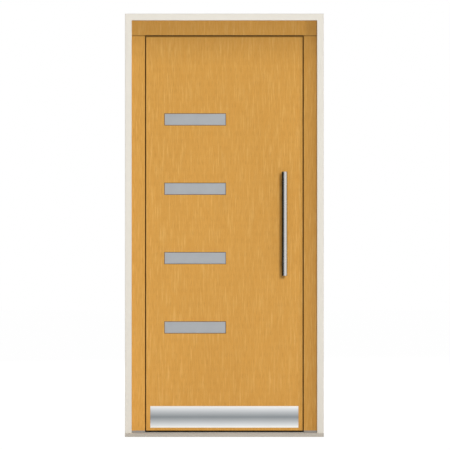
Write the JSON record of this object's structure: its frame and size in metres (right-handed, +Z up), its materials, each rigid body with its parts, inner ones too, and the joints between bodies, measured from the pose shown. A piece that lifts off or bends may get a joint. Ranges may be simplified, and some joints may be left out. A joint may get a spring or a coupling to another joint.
{
  "type": "panelled front door with frame",
  "caption": "Flush oak-veneered front door in its frame, with narrow satin-glazed lights, a long bar pull, a kick plate and an inside lever with a multi-point lock.",
  "frame": {"origin": "middle of the sill's underside, in the plane of the frame's outside face", "axes": "+Z up, +Y from the street into the house, +X along the wall from the hinges to the lock"},
  "size_m": [1.072, 0.208, 2.282],
  "materials": {
    "oak_frame": "satin",
    "oak_leaf": "satin",
    "core_timber": "matte",
    "insulation": "matte",
    "trim_cream": "satin",
    "foot_grey": "matte",
    "threshold_grey": "satin",
    "sill_taupe": "matte",
    "seal_black": "matte",
    "brushed_steel": "satin",
    "satin_nickel": "satin",
    "lock_steel": "satin",
    "spacer_alu": "matte",
    "satin_glass": "satin"
  },
  "bodies": {
    "frame": {"bottom_hinge_frame_part": "satin_nickel", "door_sill": "sill_taupe", "frame_head": "oak_frame", "frame_screws": "lock_steel", "frame_seal": "seal_black", "hinge_jamb": "oak_frame", "hinge_jamb_foot": "foot_grey", "hinge_pins": "satin_nickel", "left_cover_trim": "trim_cream", "lock_jamb": "oak_frame", "lock_jamb_foot": "foot_grey", "middle_hinge_frame_part": "satin_nickel", "release_case": "lock_steel", "right_cover_trim": "trim_cream", "strike_plates": "lock_steel", "threshold": "threshold_grey", "top_cover_trim": "trim_cream", "top_hinge_frame_part": "satin_nickel"},
    "leaf": {"bottom_hinge_leaf_part": "satin_nickel", "bottom_rail": "core_timber", "bottom_seal": "seal_black", "glazing_bead_1": "oak_leaf", "glazing_bead_2": "oak_leaf", "glazing_bead_3": "oak_leaf", "glazing_bead_4": "oak_leaf", "glazing_spacers": "spacer_alu", "hinge_stile": "core_timber", "hook_cases": "lock_steel", "inner_backplate": "satin_nickel", "inner_facing": "oak_leaf", "inner_panes": "satin_glass", "insulation_core": "insulation", "kick_plate": "brushed_steel", "leaf_screws": "lock_steel", "leaf_seal": "seal_black", "lock_case": "lock_steel", "lock_cylinder": "satin_nickel", "lock_faceplate": "lock_steel", "lock_stile": "core_timber", "middle_hinge_leaf_part": "satin_nickel", "outer_facing": "oak_leaf", "outer_pane_1": "satin_glass", "outer_pane_2": "satin_glass", "outer_pane_3": "satin_glass", "outer_pane_4": "satin_glass", "pull_bar": "brushed_steel", "pull_bolts": "brushed_steel", "pull_posts": "brushed_steel", "top_hinge_leaf_part": "satin_nickel", "top_rail": "core_timber"},
    "release": {"release_jaw": "lock_steel"},
    "lever": {"lever_handle": "satin_nickel", "lever_spindle": "lock_steel"},
    "latch": {"latch_bolt": "lock_steel"},
    "turn": {"thumb_turn": "satin_nickel"},
    "deadbolt": {"dead_bolt": "lock_steel"},
    "rods": {"drive_rods": "lock_steel"},
    "hook_upper": {"upper_hook": "lock_steel"},
    "hook_lower": {"lower_hook": "lock_steel"}
  },
  "joints": [
    {"name": "leaf_swing", "type": "hinge", "parent": "frame", "child": "leaf", "pos_m": [-0.4575, 0.091, 1.1], "axis": [0, 0, 1], "range_deg": [0, 110]},
    {"name": "release_turn", "type": "hinge", "parent": "frame", "child": "release", "pos_m": [0.4435, 0.042, 1.08], "axis": [0, 0, 1], "range_deg": [0, 90]},
    {"name": "lever_turn", "type": "hinge", "parent": "leaf", "child": "lever", "pos_m": [0.3695, 0.1, 1.08], "axis": [0, -1, 0], "range_deg": [0, 40], "stiffness_Nm_per_rad": 1.2, "springref_deg": -20.05},
    {"name": "latch_slide", "type": "slide", "parent": "leaf", "child": "latch", "axis": [-1, 0, 0], "range_m": [0, 0.012]},
    {"name": "thumb_turn_rotation", "type": "hinge", "parent": "leaf", "child": "turn", "pos_m": [0.3695, 0.1, 0.988], "axis": [0, 1, 0], "range_deg": [0, 360.01]},
    {"name": "deadbolt_slide", "type": "slide", "parent": "leaf", "child": "deadbolt", "axis": [1, 0, 0], "range_m": [0, 0.02]},
    {"name": "rod_slide", "type": "slide", "parent": "leaf", "child": "rods", "axis": [0, 0, 1], "range_m": [0, 0.018]},
    {"name": "upper_hook_swing", "type": "hinge", "parent": "leaf", "child": "hook_upper", "pos_m": [0.426, 0.042, 1.7], "axis": [0, 1, 0], "range_deg": [0, 110.01]},
    {"name": "lower_hook_swing", "type": "hinge", "parent": "leaf", "child": "hook_lower", "pos_m": [0.426, 0.042, 0.43], "axis": [0, 1, 0], "range_deg": [0, 110.01]}
  ],
  "couplings": [
    {"joint": "latch_slide", "follows": "lever_turn", "m_per_rad": 0.017189},
    {"joint": "thumb_turn_rotation", "follows": "rod_slide", "rad_per_m": 349.07},
    {"joint": "deadbolt_slide", "follows": "rod_slide", "ratio": 1.1111},
    {"joint": "upper_hook_swing", "follows": "rod_slide", "rad_per_m": 106.66},
    {"joint": "lower_hook_swing", "follows": "rod_slide", "rad_per_m": 106.66}
  ]
}
